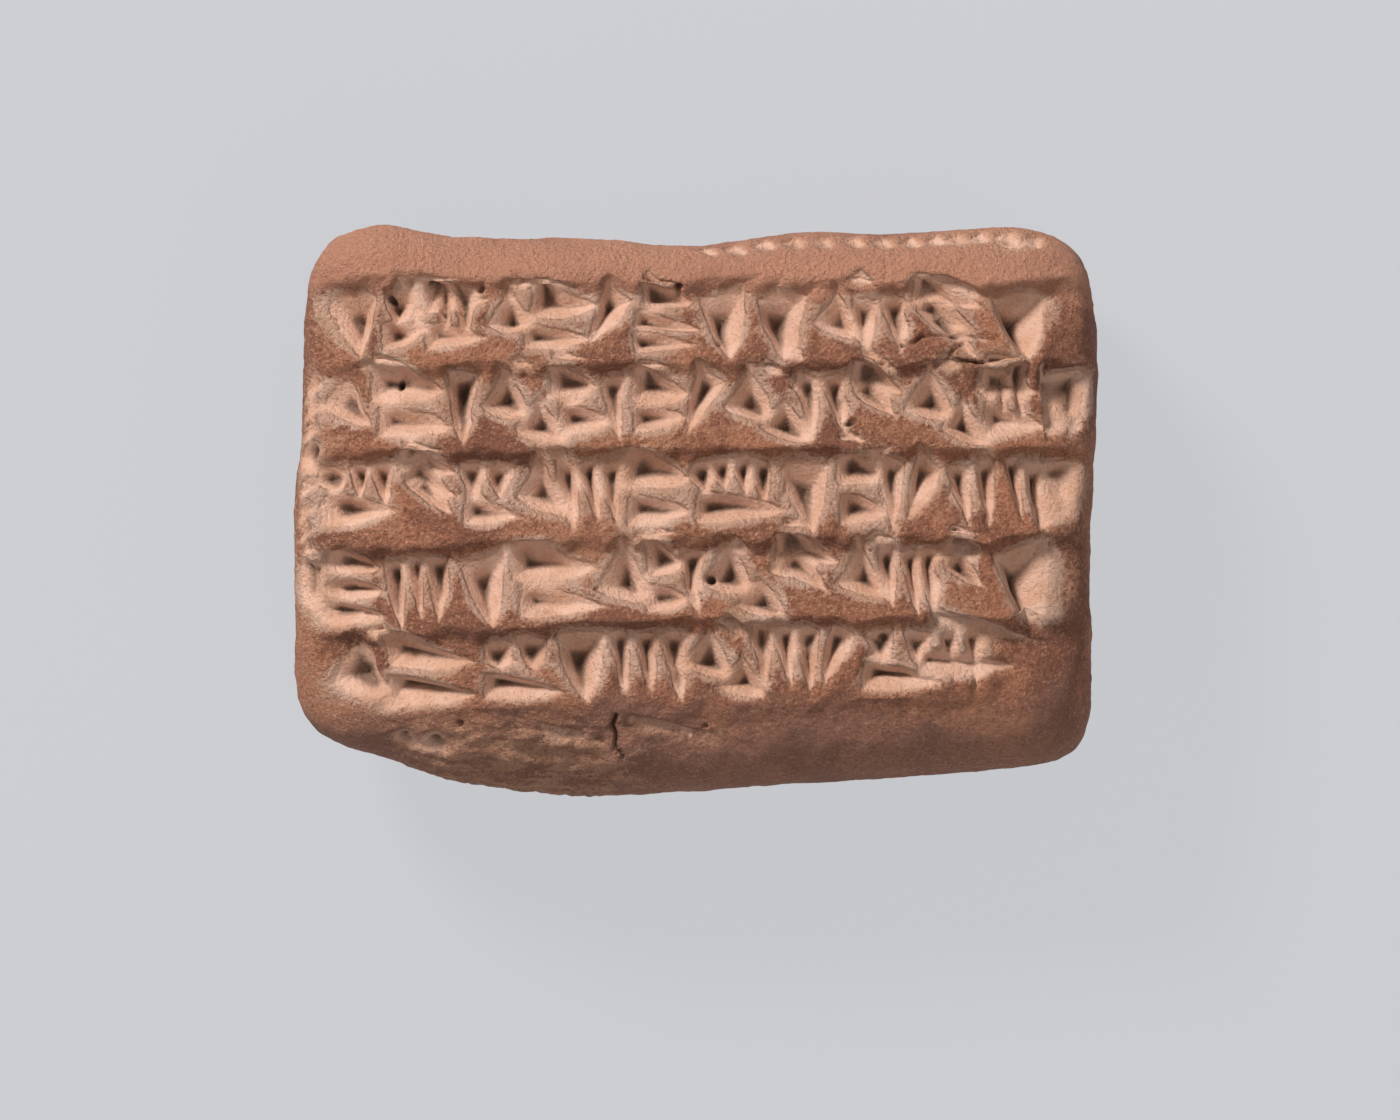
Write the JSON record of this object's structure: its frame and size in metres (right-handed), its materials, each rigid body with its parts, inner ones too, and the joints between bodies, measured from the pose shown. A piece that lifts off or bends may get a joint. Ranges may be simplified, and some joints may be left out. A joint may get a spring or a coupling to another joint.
{
  "type": "cuneiform tablet",
  "caption": "Small pillow-shaped fired-clay tablet lying on its back, its written side pressed with rows of shallow wedge strokes that spell nothing.",
  "frame": {"origin": "middle of the underside's box, on the flat spot of the back that the tablet rests on", "axes": "+X along the rows of strokes, towards their right end; +Y up the written side, towards the first row; +Z out of the written side, upwards as it lies"},
  "size_m": [0.056, 0.0398, 0.0196],
  "materials": {
    "clay": "matte, unglazed, fine sandy grain, darker and smoother where handled"
  },
  "bodies": {
    "root": {"tablet": "clay"}
  },
  "joints": []
}
